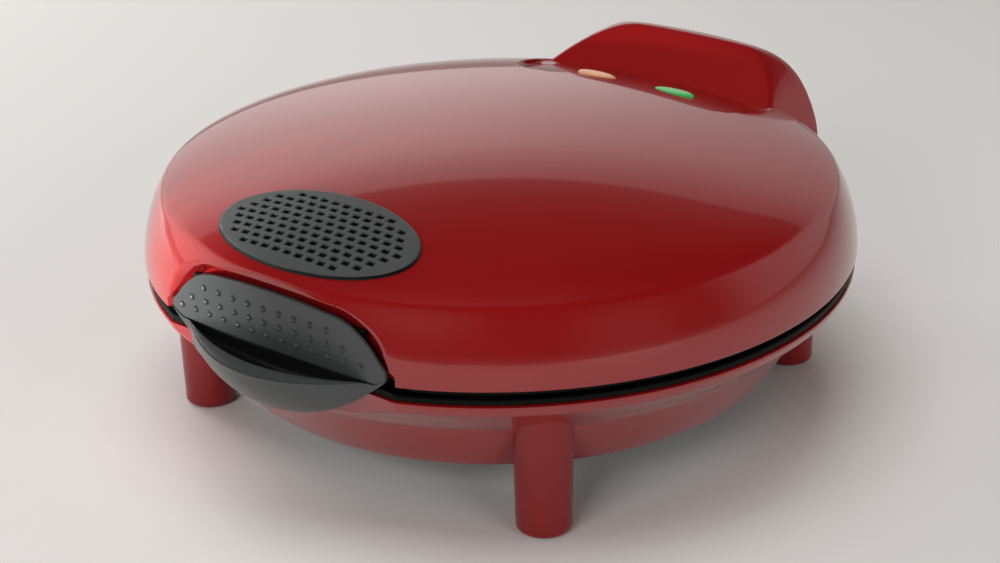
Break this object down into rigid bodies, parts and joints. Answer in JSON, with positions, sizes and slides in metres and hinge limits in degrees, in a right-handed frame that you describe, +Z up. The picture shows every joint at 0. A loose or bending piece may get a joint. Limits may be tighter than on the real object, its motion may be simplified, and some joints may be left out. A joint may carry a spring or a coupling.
{
  "type": "quesadilla maker",
  "caption": "Round countertop cooker with a domed hinged lid over wedge-shaped plates, front latch handle and hinge hood, on legs.",
  "frame": {"origin": "on the worktop, under the middle of the outline", "axes": "+Z up, front handle towards -Y, hinge towards +Y, +X to the right seen from the front"},
  "size_m": [0.29, 0.3151, 0.117],
  "materials": {
    "gloss_red": "high gloss, metallic red lacquer",
    "moulded_red": "moulded, semi-gloss",
    "satin_grey": "satin, soft touch",
    "pad_grey": "satin",
    "rim_black": "satin, moulded",
    "non_stick": "non-stick coating on cast aluminium",
    "element_steel": "dull, heat tinted",
    "shield_steel": "pressed sheet",
    "pin_steel": "ground",
    "rubber": "matt",
    "ceramic": "matt, fired",
    "board": "laminate board",
    "amber_lens": "clear tinted, gloss",
    "green_lens": "clear tinted, gloss"
  },
  "bodies": {
    "base": {"base_shell": "gloss_red", "leg_front_left": "moulded_red", "leg_front_right": "moulded_red", "leg_rear_left": "moulded_red", "leg_rear_right": "moulded_red", "foot_pad_1": "rubber", "foot_pad_2": "rubber", "foot_pad_3": "rubber", "foot_pad_4": "rubber", "bottom_cover": "rim_black", "cover_screw_1": "pin_steel", "cover_screw_2": "pin_steel", "cover_screw_3": "pin_steel", "cover_screw_4": "pin_steel", "cord_bushing": "rim_black", "base_rim": "rim_black", "lower_plate": "non_stick", "lower_element": "element_steel", "lower_heat_shield": "shield_steel", "thermostat": "ceramic", "thermal_fuse": "element_steel", "terminal_block": "ceramic", "hinge_pin": "pin_steel"},
    "lid": {"lid_shell": "gloss_red", "hinge_hood": "gloss_red", "hinge_arm_left": "rim_black", "hinge_arm_right": "rim_black", "lid_rim": "rim_black", "upper_plate": "non_stick", "upper_element": "element_steel", "upper_heat_shield": "shield_steel", "amber_lens": "amber_lens", "green_lens": "green_lens", "amber_lamp": "ceramic", "green_lamp": "ceramic", "lamp_board": "board", "thumb_pad": "pad_grey", "latch_pin": "pin_steel", "latch_spring": "pin_steel"},
    "latch": {"latch_handle": "satin_grey"}
  },
  "joints": [
    {"name": "lid_hinge", "type": "hinge", "parent": "base", "child": "lid", "pos_m": [0, 0.1425, 0.066], "axis": [-1, 0, 0], "range_deg": [0, 100]},
    {"name": "latch_pivot", "type": "hinge", "parent": "lid", "child": "latch", "pos_m": [0, -0.1354, 0.0845], "axis": [-1, 0, 0], "range_deg": [0, 12], "stiffness_Nm_per_rad": 0.05, "springref_deg": -20.05}
  ]
}
